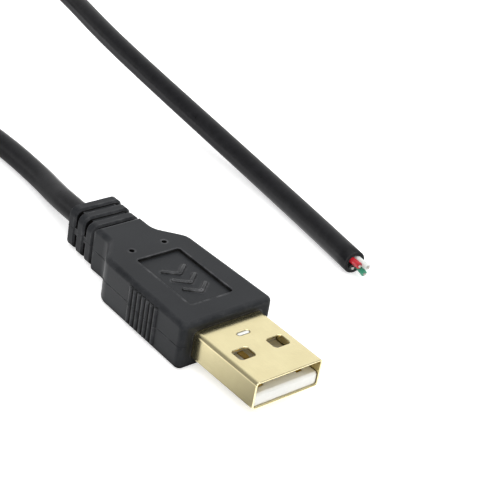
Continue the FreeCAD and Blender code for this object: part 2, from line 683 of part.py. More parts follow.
def round_ribs(body):
    """Rounds the ribs: first the corners seen along the cord, then both faces' outlines."""
    start = size(f"{RELIEF_START} + groove_width") - 1e-6
    core_side = size("relief_width / 2 - groove_side") + 1e-6
    core_top = size("relief_height / 2 - groove_top") + 1e-6
    drawn = size(f"{RELIEF_SHIFT} + rib_lean * (rib_count - 1) / 2")

    def outer(edge):
        middle = edge.CenterOfMass
        beside = abs(middle.x - drawn) > core_side + size("rib_lean * rib_count")
        return middle.y > start and (beside or abs(middle.z + size("relief_drop")) > core_top)

    lengthwise = Vector(0, 1, 0)
    dress(body, "Fillet", "rib_corners",
          lambda edge: outer(edge) and along(edge, lengthwise), "rib_corner")
    dress(body, "Chamfer", "rib_outlines",
          lambda edge: outer(edge) and edge.BoundBox.YLength < 1e-6, "rib_bevel")


def cut_panel_and_pins(body):
    """The recessed panel on top and the two small holes behind it."""
    top = f"({BODY_HEIGHT} / 2)"
    panel = new_sketch(body, "top_panel", "XY_Plane", f"{top} - panel_depth")
    rectangle(panel, "-panel_width / 2", "panel_width / 2",
              "panel_front", "panel_front + panel_length")
    extrude(body, "Pocket", panel, backwards=True)
    dress(body, "Fillet", "panel_corners",
          lambda edge: along(edge, Vector(0, 0, 1)) and edge.CenterOfMass.y < size(SHOULDER_START)
          and abs(abs(edge.CenterOfMass.x) - size("panel_width") / 2) < 1e-6, "panel_corner")
    pins = new_sketch(body, "pin_holes", "XY_Plane", f"{top} - pin_depth")
    for sign in (-1, 1):
        centre = Vector(sign * size("pin_spread") / 2, size(PIN_PLACE), 0)
        circle = pins.addGeometry(Part.Circle(centre, Vector(0, 0, 1), size("pin_diameter") / 2), False)
        tie_centre(pins, circle, sign)
    extrude(body, "Pocket", pins, backwards=True)


def tie_centre(sketch, circle, sign):
    """Ties a pin hole's centre and diameter to the sheet."""
    ends = (-1, 1, circle, 3) if sign > 0 else (circle, 3, -1, 1)
    spread = Sketcher.Constraint("DistanceX", *ends, size("pin_spread") / 2)
    bind(sketch, f"Constraints[{sketch.addConstraint(spread)}]", "pin_spread / 2")
    place = Sketcher.Constraint("DistanceY", -1, 1, circle, 3, size(PIN_PLACE))
    bind(sketch, f"Constraints[{sketch.addConstraint(place)}]", PIN_PLACE)
    across = Sketcher.Constraint("Diameter", circle, size("pin_diameter"))
    bind(sketch, f"Constraints[{sketch.addConstraint(across)}]", "pin_diameter")


def grip_ridges():
    """Upright round ridges along both sides, each a little proud of the tapered side."""
    ridges = []
    for sign in (-1, 1):
        for number in range(int(size("ridge_count"))):
            ridge = doc.addObject("Part::Cylinder", "grip_ridge")
            place = f"(ridge_first + ridge_pitch * {number})"
            side = f"({BODY_WIDTH} / 2 - body_taper / 2 * {place} / {SHOULDER_START})"
            bind(ridge, "Radius", "ridge_radius")
            bind(ridge, "Height", "ridge_height")
            bind(ridge, "Placement.Base.x", f"{sign} * ({side} + ridge_proud - ridge_radius)")
            bind(ridge, "Placement.Base.y", place)
            bind(ridge, "Placement.Base.z", "-ridge_height / 2")
            ridges.append(ridge)
    return ridges


def make_overmould():
    """The outer moulding: grip, shoulders and ribbed strain relief in one piece."""
    body = new_body("overmould_body")
    overmould_plan(body)
    round_plan(body)
    round_long_edges(body)
    add_ribs(body)
    cut_panel_and_pins(body)
    outside = doc.addObject("Part::MultiFuse", "overmould_outside")
    outside.Shapes = [body] + grip_ridges()
    bore = doc.addObject("Part::Cylinder", "overmould_bore")
    bind(bore, "Radius", "cable_diameter / 2 + bore_gap")
    bind(bore, "Height", f"{BODY_LENGTH} - {MOULD_END}")
    place_along_y(bore, "0", BODY_LENGTH, "0")
    hollow = doc.addObject("Part::MultiFuse", "overmould_hollow")
    hollow.Shapes = [shell_plug("face_slot", "0", "mould_start"), bore,
                     plug_box("mould_space", MOULD_WIDTH, MOULD_HEIGHT, "mould_start", MOULD_END)]
    moulding = doc.addObject("Part::Cut", "overmould")
    moulding.Base = outside
    moulding.Tool = hollow
    return finish("overmould", moulding)


# The free cord
def make_coil():
    """The outer shape of the coil: two layers of turns a diameter apart."""
    body = new_body("cord_coil")
    section = new_sketch(body, "coil_section", "XZ_Plane")
    rectangle(section, COIL_INNER, COIL_OUTER, "0", "2 * cable_diameter")
    ring = body.newObject("PartDesign::Revolution", "coil_ring")
    ring.Profile = section
    ring.ReferenceAxis = (section, ["V_Axis"])
    ring.Angle = 360
    doc.recompute()
    for axis, text in (("x", "coil_x"), ("y", COIL_Y), ("z", "tie_thick")):
        bind(body, f"Placement.Base.{axis}", text)
    return finish("cord_coil", body, in_plug=False)


def make_tie():
    """A flat strap round the coil's turns, on the side away from the plug."""
    near = f"({COIL_Y} + sqrt({COIL_INNER}^2 - (tie_width / 2)^2) - tie_gap)"
    far = f"({COIL_Y} + {COIL_OUTER} + tie_gap)"
    boxes = {}
    for name, grow in (("tie_outside", "tie_thick"), ("tie_room", "0")):
        box = doc.addObject("Part::Box", name)
        bind(box, "Length", "tie_width")
        bind(box, "Width", f"{far} - {near} + 2 * {grow}")
        bind(box, "Height", f"2 * cable_diameter + 2 * {grow}")
        bind(box, "Placement.Base.x", "coil_x - tie_width / 2")
        bind(box, "Placement.Base.y", f"{near} - {grow}")
        bind(box, "Placement.Base.z", f"tie_thick - {grow}")
        boxes[name] = box
    strap = doc.addObject("Part::Cut", "coil_tie")
    strap.Base = boxes["tie_outside"]
    strap.Tool = boxes["tie_room"]
    return finish("coil_tie", strap, in_plug=False)


def on_route(route):
    """The chosen points of a route as places in the part's frame."""
    start = size(EXIT_Y)
    return [Vector(across, start + beyond, height) for across, beyond, height in route]


def end_frame():
    """The cut end: its centre, the way the cord points, and the sideways and upward directions."""
    before, centre = on_route(TAIL_ROUTE)[-2:]
    ahead = (centre - before).normalize()
    side = Vector(0, 0, 1).cross(ahead).normalize()
    return centre, ahead, side, ahead.cross(side)


def make_lead(coil, radius):
    """The tube from the plug to the coil, cut flush with the end of the strain relief."""
    exit_point = Vector(0, size(EXIT_Y), size(PLUG_Z))
    route = on_route(LEAD_ROUTE)
    run_back = (exit_point - route[0]).normalize() * radius
    bite = size("coil_bite")
    arrive = Vector(size("coil_x - coil_radius") + bite, size(COIL_Y), size("tie_thick") + radius + bite)
    solid, length, radii = tube([exit_point + run_back] + route + [arrive], radius)
    reach = 2 * radius
    inside = Part.makeBox(2 * reach, reach, 2 * reach, exit_point - Vector(reach, reach, reach))
    shape_node("cord_lead", solid.cut(inside).cut(coil), False)
    return length - radius, radii


def make_tail(coil, radius):
    """The tube from the coil to the cut end, with room there for the conductors."""
    bite = size("coil_bite")
    leave = Vector(size("coil_x + coil_radius") - bite, size(COIL_Y),
                   size("tie_thick") + 3 * radius - bite)
    solid, length, radii = tube([leave] + on_route(TAIL_ROUTE), radius)
    centre, ahead, _, _ = end_frame()
    depth = size("end_bore")
    room = Part.makeCylinder(radius - size("jacket_wall"), depth + 1, centre - ahead * depth, ahead)
    shape_node("cord_tail", solid.cut(coil).cut(room), False)
    return length, radii


def make_cord():
    """Both free tubes, with the cord's length and its tightest bends printed."""
    radius = size("cable_diameter") / 2
    coil = nodes["cord_coil"].Shape
    turns = size("coil_turns")
    wound = 2 * turns * 2 * math.pi * (size("coil_radius") - turns * radius)
    total = wound
    for name, make in (("lead", make_lead), ("tail", make_tail)):
        length, radii = make(coil, radius)
        total += length
        print(name, "length", round(length, 1), "bend radii", [round(value, 1) for value in radii])
    print("cord length", round(total, 1), "of it wound", round(wound, 1))


def make_cut_conductors():
    """Four conductors that stand out of the jacket by uneven lengths."""
    centre, ahead, side, up = end_frame()
    half = size(BUNDLE)
    for colour, across, height, length, lean in CUT_ENDS:
        offset = side * (across * half) + up * (height * half)
        inside = centre + offset - ahead * size("end_bore")
        mouth = centre + offset + ahead * (length * MOUTH_SHARE)
        tip = centre + offset + ahead * length + side * lean[0] + up * lean[1]
        outward = (tip - mouth).normalize()
        make_conductor(f"end_{colour}", [tip, mouth, inside], outward, size("core_bare"), False)


def check_document():
    """Stops if a feature failed, a pocket took nothing away or a shape isn't sound."""
    doc.recompute()
    for thing in doc.Objects:
        if "Invalid" in thing.State or "Error" in thing.State:
            raise ValueError(f"{thing.Name} failed: {thing.State}")
        if thing.TypeId == "PartDesign::Pocket":
            if thing.Shape.Volume > thing.BaseFeature.Shape.Volume - 1e-6:
                raise ValueError(f"{thing.Name} takes nothing away")
    for name, thing in nodes.items():
        if thing.Shape.isNull() or not thing.Shape.isValid():
            raise ValueError(f"{name} has no sound shape")
        if len(thing.Shape.Solids) != 1:
            raise ValueError(f"{name} has {len(thing.Shape.Solids)} solids")


def write_parts():
    os.makedirs("parts", exist_ok=True)
    for name, thing in nodes.items():
        thing.Shape.exportStep(os.path.join("parts", f"{name}.step"))


make_shell()
make_insulator()
for colour, place, sign, bundle in CONDUCTORS:
    setback = place.replace("contact_", "") + "_setback"
    make_contact(f"contact_{colour}", place, sign, setback)
    make_solder(f"solder_{colour}", place, sign)
    make_plug_conductor(colour, place, sign, bundle)
make_jacket_inside()
make_inner_mould()
make_overmould()
make_coil()
make_tie()
doc.recompute()
make_cord()
make_cut_conductors()
check_document()
write_parts()
print(len(nodes), "sub-parts written")
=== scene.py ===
# %% [markdown]
# # A usb cable, dressed from its construction model
# The solids of the plug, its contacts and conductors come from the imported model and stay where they
# are. This lesson gives them their finishes, and adds what a solid model leaves out: the cord as one
# smooth tube with a cut end, the mould's seam, the sign in the panel, the strands of the cores and the
# free end of the strap.

# %% Load the fixed frame
import math

import bmesh
import bpy
from mathutils import Matrix, Vector


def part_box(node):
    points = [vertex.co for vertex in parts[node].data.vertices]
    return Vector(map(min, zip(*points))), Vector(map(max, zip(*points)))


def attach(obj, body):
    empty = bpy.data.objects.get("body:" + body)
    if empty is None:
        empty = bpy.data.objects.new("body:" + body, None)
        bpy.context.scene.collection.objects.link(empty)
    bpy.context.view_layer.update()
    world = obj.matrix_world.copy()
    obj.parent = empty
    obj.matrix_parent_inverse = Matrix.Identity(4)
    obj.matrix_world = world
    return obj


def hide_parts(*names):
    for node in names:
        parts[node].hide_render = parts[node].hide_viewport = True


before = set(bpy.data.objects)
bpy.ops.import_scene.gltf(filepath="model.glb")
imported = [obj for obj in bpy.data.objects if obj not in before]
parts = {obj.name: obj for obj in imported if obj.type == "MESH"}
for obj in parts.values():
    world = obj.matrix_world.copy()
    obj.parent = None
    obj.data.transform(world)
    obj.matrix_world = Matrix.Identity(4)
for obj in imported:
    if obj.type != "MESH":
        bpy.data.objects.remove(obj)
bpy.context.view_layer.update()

MM = 0.001
scene = bpy.context.scene

# %% [markdown]
# ## Camera
# The photograph was taken with a long lens from the left of the nose, about 30 degrees above the
# table, and the camera was tipped by ten degrees. A camera is three directions and a place: here the
# directions come from the angles, which are easy to read and to change, and not from a matrix of
# numbers.

# %% Place the camera
CAMERA_PLACE = Vector((-122.85, -134.04, 120.09)) * MM
CAMERA_AZIMUTH = math.radians(-44.74)
CAMERA_RISE = math.radians(30.12)
CAMERA_TIP = math.radians(10.01)
LENS = 112.5
SENSOR = 36
NEAREST = 0.005
FARTHEST = 5

back = Vector((math.sin(CAMERA_AZIMUTH) * math.cos(CAMERA_RISE),
               -math.cos(CAMERA_AZIMUTH) * math.cos(CAMERA_RISE),
               math.sin(CAMERA_RISE)))
level = Vector((math.cos(CAMERA_AZIMUTH), math.sin(CAMERA_AZIMUTH), 0))
rise = back.cross(level)
right = level * math.cos(CAMERA_TIP) + rise * math.sin(CAMERA_TIP)
up = back.cross(right)

camera_data = bpy.data.cameras.new("camera")
camera_data.lens = LENS
camera_data.sensor_width = SENSOR
camera_data.clip_start = NEAREST
camera_data.clip_end = FARTHEST
camera = bpy.data.objects.new("camera", camera_data)
scene.collection.objects.link(camera)
camera.matrix_world = Matrix.Translation(CAMERA_PLACE) @ Matrix((right, up, back)).transposed().to_4x4()
scene.camera = camera
print("camera looks along", [round(-axis, 3) for axis in back])

# %% [markdown]
# ## The cord's route
# A cord is one smooth line. It leaves the strain relief, comes down to the table, runs out of the
# picture and is wound into a coil of two layers there. Then it comes back and ends beside the plug,
# where it was cut. A NURBS spline of order 3 touches the middle of each run of its control points,
# so a ring of points a little outside a circle gives that circle.

# %% Write down the route
CORD = 3.8 * MM
EXIT_HEIGHT = 3.75 * MM
EXIT = Vector((0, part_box("overmould")[1].y, EXIT_HEIGHT))
LEAD_ROUTE = [(0.3, 4.75, 3.5), (1.55, 10.55, 2.55), (2.85, 16.75, 1.92), (3.35, 28.5, 1.92),
              (2.0, 47.5, 1.92), (-1.6, 73.5, 2.1), (-6.1, 97.5, 2.5)]
TAIL_ROUTE = [(46.0, 101.5, 7.2), (44.0, 82.5, 8.4), (40.6, 64.5, 8.8), (38.3, 49.5, 7.75),
              (37.5, 31.5, 5.85), (37.35, 13.5, 3.65), (36.5, -3.5, 2.12), (34.7, -16.5, 1.92),
              (33.0, -26.5, 1.92)]
COIL_CENTRE = Vector((20, 119.5, 0)) * MM + Vector((0, EXIT.y, 0))
COIL_RADIUS = 26.1 * MM
COIL_TURNS = 2.75
COIL_LIFT = 0.6 * MM
CLIMB_TURNS = 0.5
TURN_POINTS = 16


def from_exit(rows):
    """Points given across, beyond the strain relief and above the table, as places."""
    return [Vector((across * MM, EXIT.y + beyond * MM, height * MM)) for across, beyond, height in rows]


def coil_points():
    """Control points of the coil: inwards on the lower layer, outwards on the upper one."""
    points = []
    count = round(2 * COIL_TURNS * TURN_POINTS)
    outside = 1 / math.cos(math.pi / TURN_POINTS)
    for number in range(count):
        turned = (number + 0.5) / TURN_POINTS
        inward = min(turned, 2 * COIL_TURNS - turned)
        radius = (COIL_RADIUS - inward * CORD) * outside
        angle = math.pi - 2 * math.pi * turned
        climb = min(max((turned - COIL_TURNS) / CLIMB_TURNS + 0.5, 0), 1)
        height = COIL_LIFT + CORD * (0.5 + climb)
        points.append(COIL_CENTRE + Vector((radius * math.cos(angle), radius * math.sin(angle), height)))
    return points


arrive = COIL_CENTRE + Vector((-COIL_RADIUS, 0, COIL_LIFT + CORD / 2))
leave = COIL_CENTRE + Vector((COIL_RADIUS, 0, COIL_LIFT + CORD * 1.5))
route = [EXIT] + from_exit(LEAD_ROUTE) + [arrive] + coil_points() + [leave] + from_exit(TAIL_ROUTE)
print("route points", len(route))

# %% [markdown]
# ## Helpers for the pieces
# Most operators act on what is selected. In a window that is plain to see, but a script has to say it:
# a piece is made the only selected one before each step, and inside a mesh the points and edges are
# picked by where they lie. Every piece ends in the same way, with its place moved into its mesh, small
# roundings on its edges and smooth shading between them, so these steps are written once.

# %% Helpers for whole pieces


def only(piece):
    """Selects one piece and makes it the active one."""
    bpy.ops.object.select_all(action="DESELECT")
    piece.select_set(True)
    bpy.context.view_layer.objects.active = piece


def newest():
    """The piece that the last operator made."""
    return bpy.context.view_layer.objects.active


def settle(piece):
    """Moves a piece's place, turn and size into its mesh."""
    only(piece)
    bpy.ops.object.transform_apply(location=True, rotation=True, scale=True)


def round_edges(piece, width, segments):
    """Rounds the sharp edges of a piece."""
    rounding = piece.modifiers.new("rounding", "BEVEL")
    rounding.width = width
    rounding.segments = segments
    rounding.limit_method = "ANGLE"
    only(piece)
    bpy.ops.object.modifier_apply(modifier=rounding.name)


def smooth(piece, degrees):
    """Smooth shading, with an edge kept where faces meet at more than the angle."""
    only(piece)
    bpy.ops.object.shade_smooth_by_angle(angle=math.radians(degrees))


def convert(piece, kind):
    """Turns a piece into a mesh or a curve."""
    only(piece)
    bpy.ops.object.convert(target=kind)
    return newest()


def join(pieces, name):
    """One piece out of several."""
    only(pieces[0])
    for piece in pieces:
        piece.select_set(True)
    bpy.ops.object.join()
    pieces[0].name = name
    return pieces[0]


def cube(name, place, size):
    """A cube at a place, stretched to a size."""
    bpy.ops.object.select_all(action="DESELECT")
    bpy.ops.mesh.primitive_cube_add(size=1, location=place)
    piece = newest()
    piece.name = name
    piece.scale = size
    settle(piece)
    return piece


def count_faces(piece):
    """Prints how many faces a piece has."""
    print(piece.name, "faces", len(piece.data.polygons))


# %% Helpers inside a mesh


def pick(piece, kind, wanted):
    """Selects the points or edges of the edited piece that pass a test."""
    bpy.ops.mesh.select_mode(type=kind)
    bpy.ops.mesh.select_all(action="DESELECT")
    shape = bmesh.from_edit_mesh(piece.data)
    for element in shape.verts if kind == "VERT" else shape.edges:
        element.select = wanted(element)
    shape.select_flush_mode()
    bmesh.update_edit_mesh(piece.data)


def turn_outwards():
    """Makes every face of the edited piece point outwards."""
    bpy.ops.mesh.select_all(action="SELECT")
    bpy.ops.mesh.normals_make_consistent(inside=False)


# %% [markdown]
# ## The cord
# The jacket could be left a bevelled curve, but its far end was cut off square and shows its wall.
# So the curve is turned into a mesh, and its last ring is drawn inwards and back to make the wall's
# thickness and the bore that the four conductors come out of. A tube with flat sides is thinner than
# its circle across the flats, so it is made a little thicker, by half of what it lacks.

# %% Draw its middle line
LINE_STEPS = 8

curve = bpy.data.curves.new("cord_line", "CURVE")
curve.dimensions = "3D"
spline = curve.splines.new("NURBS")
spline.points.add(len(route) - 1)
for control, place in zip(spline.points, route):
    control.co = (*place, 1)
spline.order_u = 3
spline.use_endpoint_u = True
curve.resolution_u = LINE_STEPS
cord = bpy.data.objects.new("cord", curve)
scene.collection.objects.link(cord)
line = bpy.data.meshes.new_from_object(cord)
path = [vertex.co.copy() for vertex in line.vertices]
length = sum((after - before).length for before, after in zip(path, path[1:]))
print("cord length in mm", round(length / MM, 1), "points on its line", len(path))

# %% Turn the line into a tube
ROUND_STEPS = 10

sides = 4 + 2 * ROUND_STEPS
curve.bevel_resolution = ROUND_STEPS
curve.bevel_depth = CORD / 2 / math.sqrt(math.cos(math.pi / sides))
cord = convert(cord, "MESH")
cord.name = "cord"
print("sides of the tube", sides)

# %% Shape its cut end
JACKET_WALL = 0.6 * MM
BORE_DEPTH = 4.5 * MM
BORE_TAPER = 0.97
RIM_ROUND = 0.12 * MM
RIM_STEPS = ((1 - 2 * RIM_ROUND / CORD, RIM_ROUND), (1 - 2 * JACKET_WALL / CORD, 0),
             (BORE_TAPER, -RIM_ROUND), (1, -BORE_DEPTH))
cut_end = path[-1]
cut_ahead = (path[-1] - path[-2]).normalized()


def on_cut_rim(vertex):
    """Whether a point lies on the tube's open rim at the cut end."""
    return vertex.is_boundary and (vertex.co - cut_end).length < CORD


only(cord)
bpy.ops.object.mode_set(mode="EDIT")
pick(cord, "VERT", on_cut_rim)
for shrink, forward in RIM_STEPS:
    bpy.ops.mesh.extrude_region_move(TRANSFORM_OT_translate={"value": cut_ahead * forward})
    bpy.ops.transform.resize(value=(shrink,) * 3, center_override=cut_end + cut_ahead * forward)
bpy.ops.mesh.edge_face_add()
turn_outwards()
bpy.ops.object.mode_set(mode="OBJECT")
smooth(cord, degrees=50)
count_faces(cord)

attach(cord, "root")
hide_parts("cord_lead", "cord_coil", "cord_tail")

# %% [markdown]
# ## The mould's seam
# Overmoulding leaves a thin raised line where the two halves of the tool met, all round the plug at
# half height. A copy of the overmould is cut at that height, and only the outline of the cut is kept.
# As a curve with a small bevel it becomes a bead that is half sunk in the surface. Drawing the outline
# again by hand would repeat the shape, and would miss the ridges and ribs.

# %% Cut a copy of the overmould
MERGE_WITHIN = 0.001 * MM
MARGIN = 0.1 * MM
mould_low, mould_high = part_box("overmould")
inner_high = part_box("inner_mould")[1]


def in_hollow(vertex):
    """Whether a point of the cut lies on a wall inside the mould, round the inner moulding or the cord."""
    round_inner = abs(vertex.co.x) < inner_high.x + MARGIN and vertex.co.y < inner_high.y + MARGIN
    return round_inner or abs(vertex.co.x) < CORD / 2 + MARGIN


seam = parts["overmould"].copy()
seam.data = parts["overmould"].data.copy()
seam.name = "mould_seam"
scene.collection.objects.link(seam)
only(seam)
bpy.ops.object.mode_set(mode="EDIT")
bpy.ops.mesh.select_all(action="SELECT")
bpy.ops.mesh.remove_doubles(threshold=MERGE_WITHIN)
bpy.ops.mesh.bisect(plane_co=(0, 0, mould_high.z / 2), plane_no=(0, 0, 1), clear_inner=True,
                    clear_outer=True)
pick(seam, "VERT", in_hollow)
bpy.ops.mesh.delete(type="VERT")
bpy.ops.object.mode_set(mode="OBJECT")
print("points on the outline", len(seam.data.vertices))

# %% Turn the outline into a bead
SEAM_RADIUS = 0.05 * MM
SEAM_STEPS = 1
seam = convert(seam, "CURVE")
seam.data.bevel_depth = SEAM_RADIUS
seam.data.bevel_resolution = SEAM_STEPS
seam = convert(seam, "MESH")
seam.name = "mould_seam"
smooth(seam, degrees=60)
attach(seam, "root")
count_faces(seam)

# %% [markdown]
# ## The sign in the panel
# The panel carries a plain raised sign, so that a hand can feel which side is up. It is three chevrons
# that point to the nose. One bar is a cube, turned about its inner end with its edges bevelled, and
# the others are made by the same few steps.

# %% Raise the chevrons
PANEL_DEPTH = 0.4 * MM
CHEVRON_REACH = 2.5 * MM
CHEVRON_BAR = 0.6 * MM
CHEVRON_OVERLAP = CHEVRON_BAR * 0.7
CHEVRON_PROUD = 0.25 * MM
CHEVRON_ROUND = 0.16 * MM
CHEVRON_TURN = math.radians(38)
CHEVRON_PLACES = (6.4 * MM, 8.9 * MM, 11.4 * MM)
panel_floor = mould_high.z - PANEL_DEPTH


def chevron_bar(place, side):
    """One bar of a chevron, from the middle line outwards and back."""
    bar = cube("bar", (side * CHEVRON_REACH / 2, place, panel_floor),
               (CHEVRON_REACH + CHEVRON_OVERLAP, CHEVRON_BAR, 2 * CHEVRON_PROUD))
    turned = Matrix.Rotation(side * CHEVRON_TURN, 4, "Z")
    apex = Matrix.Translation((0, place, panel_floor))
    bar.matrix_world = apex @ turned @ apex.inverted()
    settle(bar)
    round_edges(bar, CHEVRON_ROUND, segments=3)
    return bar


sign = join([chevron_bar(mould_low.y + place, side) for place in CHEVRON_PLACES for side in (-1, 1)],
            "panel_sign")
smooth(sign, degrees=40)
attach(sign, "root")
count_faces(sign)

# %% [markdown]
# ## Strands of the cut conductors
# A bare conductor is not one thick wire but seven thin strands, laid round each other. At the cut end
# they show, so each solid core is replaced by a middle strand and six that lean a little round it.
# The core's own solid tells where it starts and ends.

# %% Make one strand
STRAND_RADIUS = 0.25 * MM / 3
STRAND_SIDES = 12
TIP_ROUND = STRAND_RADIUS * 0.35


def strand(start, end):
    """One thin wire with a slightly rounded tip."""
    bpy.ops.object.select_all(action="DESELECT")
    bpy.ops.mesh.primitive_cylinder_add(vertices=STRAND_SIDES, radius=STRAND_RADIUS,
                                        depth=(end - start).length, location=(start + end) / 2)
    wire = newest()
    wire.rotation_mode = "QUATERNION"
    wire.rotation_quaternion = (end - start).to_track_quat("Z", "Y")
    wire.name = "strand"
    settle(wire)
    round_edges(wire, TIP_ROUND, segments=2)
    return wire


# %% Lay the strands
COLOURS = ("red", "green", "white", "black")
OUTER_STRANDS = 6
STRAND_LEAN = math.radians(9)


def core_ends(name):
    """The middles of both ends of a core, from inside the insulation outwards."""
    places = [vertex.co.copy() for vertex in parts[name].data.vertices]
    middle = sum((place.dot(cut_ahead) for place in places)) / len(places)
    ends = []
    for outer in (False, True):
        ring = [place for place in places if (place.dot(cut_ahead) > middle) == outer]
        ends.append(sum(ring, Vector()) / len(ring))
    return ends


strand_bundles = []
for colour in COLOURS:
    inner, tip = core_ends(f"end_{colour}_core")
    axis = (tip - inner).normalized()
    across = axis.orthogonal().normalized()
    wires = [strand(inner, tip)]
    for number in range(OUTER_STRANDS):
        out = Matrix.Rotation(2 * math.pi * number / OUTER_STRANDS, 3, axis) @ across * (2 * STRAND_RADIUS)
        lean = axis.cross(out).normalized() * math.tan(STRAND_LEAN) * (tip - inner).length
        wires.append(strand(inner + out - lean / 2, tip + out + lean / 2))
    bundle = join(wires, f"end_{colour}_strands")
    smooth(bundle, degrees=40)
    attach(bundle, "root")
    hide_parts(f"end_{colour}_core")
    strand_bundles.append(bundle)
    count_faces(bundle)

# %% [markdown]
# ## The tongue of the strap
# The put-away coil is held by a soft strap that closes on itself. The strap is a solid of its own
# already. What it lacks is the free tongue that is pressed down on top of it, which is a flat cube with
# a rounded end.

# %% Lay the tongue
TONGUE_THICK = 0.6 * MM
TONGUE_SHARE = 0.62
TONGUE_CORNER = 2.4 * MM
TONGUE_ROUND = 0.15 * MM
tie_low, tie_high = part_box("coil_tie")
tongue_length = (tie_high.y - tie_low.y) * TONGUE_SHARE
tongue_middle = tie_high.y - tongue_length / 2
tongue = cube("strap_tongue",
              ((tie_low.x + tie_high.x) / 2, tongue_middle, tie_high.z + TONGUE_THICK / 2),
              (tie_high.x - tie_low.x, tongue_length, TONGUE_THICK))


def at_free_corner(edge):
    """Whether an edge is one of the two upright ones at the tongue's free end."""
    one, two = (vertex.co for vertex in edge.verts)
    return abs(one.z - two.z) > TONGUE_THICK / 2 and one.y < tongue_middle


bpy.ops.object.mode_set(mode="EDIT")
pick(tongue, "EDGE", at_free_corner)
bpy.ops.mesh.bevel(offset=TONGUE_CORNER, segments=8)
turn_outwards()
bpy.ops.object.mode_set(mode="OBJECT")
round_edges(tongue, TONGUE_ROUND, segments=2)
smooth(tongue, degrees=40)
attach(tongue, "root")
count_faces(tongue)

# %% [markdown]
# ## Helpers for materials
# A material is a graph of nodes, and in a window each node is added and joined with its neighbours by
# hand. In a script that takes many lines, so each kind of node that is used often gets a helper here.
# It takes numbers, colours or the sockets of other nodes, and gives back the socket of its result, so
# that a chain of nodes reads like a sum.

# %% Helpers for nodes
MIX_SOCKETS = {"FLOAT": (2, 3, 0), "RGBA": (6, 7, 2)}


def feed(tree, value, socket):
    """Links another node's result to an input, or gives the input a number or colour."""
    if isinstance(value, bpy.types.NodeSocket):
        tree.links.new(value, socket)
    elif socket.type == "RGBA":
        socket.default_value = (*value, 1)
    else:
        socket.default_value = value


def add_node(tree, kind, settings=None, **inputs):
    """A node with its settings, and its inputs by name, with an underscore for a space."""
    node = tree.nodes.new(kind)
    for name, value in (settings or {}).items():
        setattr(node, name, value)
    for name, value in inputs.items():
        feed(tree, value, node.inputs[name.replace("_", " ")])
    return node


def calculate(tree, operation, *values, kind="ShaderNodeMath", result="Value"):
    """What a calculation makes of its values."""
    node = add_node(tree, kind, {"operation": operation})
    for value, socket in zip(values, node.inputs):
        feed(tree, value, socket)
    return node.outputs[result]


def calculate_place(tree, operation, *values, result="Value"):
    """What a calculation with places or directions makes of its values."""
    return calculate(tree, operation, *values, kind="ShaderNodeVectorMath", result=result)


def ramp(tree, source, start, stop, low=0.0, high=1.0):
    """A value that goes from low to high while the source goes from start to stop."""
    node = add_node(tree, "ShaderNodeMapRange", Value=source, From_Min=start, From_Max=stop, To_Min=low,
                    To_Max=high)
    return node.outputs["Result"]


def mix(tree, kind, share, first, second):
    """Two numbers or two colours mixed, where a share of 0 gives the first and 1 the second."""
    first_at, second_at, result_at = MIX_SOCKETS[kind]
    node = add_node(tree, "ShaderNodeMix", {"data_type": kind})
    for value, at in ((share, 0), (first, first_at), (second, second_at)):
        feed(tree, value, node.inputs[at])
    return node.outputs[result_at]


def noise(tree, place, scale, detail, roughness):
    """Noise between 0 and 1 at a place."""
    node = add_node(tree, "ShaderNodeTexNoise", Vector=place, Scale=scale, Detail=detail,
                    Roughness=roughness)
    return node.outputs["Fac"]


def new_group(name, inputs, outputs):
    """A shader node group with named sockets: the group, what it is given and what it makes."""
    group = bpy.data.node_groups.new(name, "ShaderNodeTree")
    for label, kind, value in inputs:
        socket = group.interface.new_socket(name=label, in_out="INPUT", socket_type=kind)
        socket.default_value = value
    for label, kind in outputs:
        group.interface.new_socket(name=label, in_out="OUTPUT", socket_type=kind)
    return group, group.nodes.new("NodeGroupInput").outputs, group.nodes.new("NodeGroupOutput").inputs


# %% [markdown]
# ## Shared effects
# Moulded plastic, plated sheet and drawn insulation differ in colour and shine, but each has the same
# things: a tone that drifts a little, a fine relief in the surface, and edges that are softer than the
# solid model's. One node group makes them from noise in the object's own coordinates and from a bevel
# that turns the normals near an edge. Each material places it with its own values.

# %% Start the surface group
surface, given, made = new_group(
    "surface",
    [("Dark", "NodeSocketColor", (0, 0, 0, 1)), ("Light", "NodeSocketColor", (1, 1, 1, 1)),
     ("Drift", "NodeSocketFloat", 120.0), ("Grain", "NodeSocketFloat", 4000.0),
     ("Stretch", "NodeSocketVector", (1, 1, 1)), ("Relief", "NodeSocketFloat", 0.2),
     ("Smoothest", "NodeSocketFloat", 0.3), ("Roughest", "NodeSocketFloat", 0.5),
     # The sockets below paint three marks: paler edges that are partly rubbing and partly painted
     # highlight; corners darkened by dust and painted shade; and hollows darkened by painted shade.
     ("Rounding", "NodeSocketFloat", 0.0), ("Wear", "NodeSocketFloat", 0.0),
     ("Wear Reach", "NodeSocketFloat", 0.5 * MM), ("Worn", "NodeSocketColor", (0.1, 0.1, 0.1, 1)),
     ("Grime", "NodeSocketFloat", 0.0),
     ("Shade", "NodeSocketFloat", 0.0), ("Shade Color", "NodeSocketColor", (0, 0, 0, 1))],
    [("Color", "NodeSocketColor"), ("Roughness", "NodeSocketFloat"), ("Normal", "NodeSocketVector")])
print("surface group inputs", len(given), "outputs", len(made))

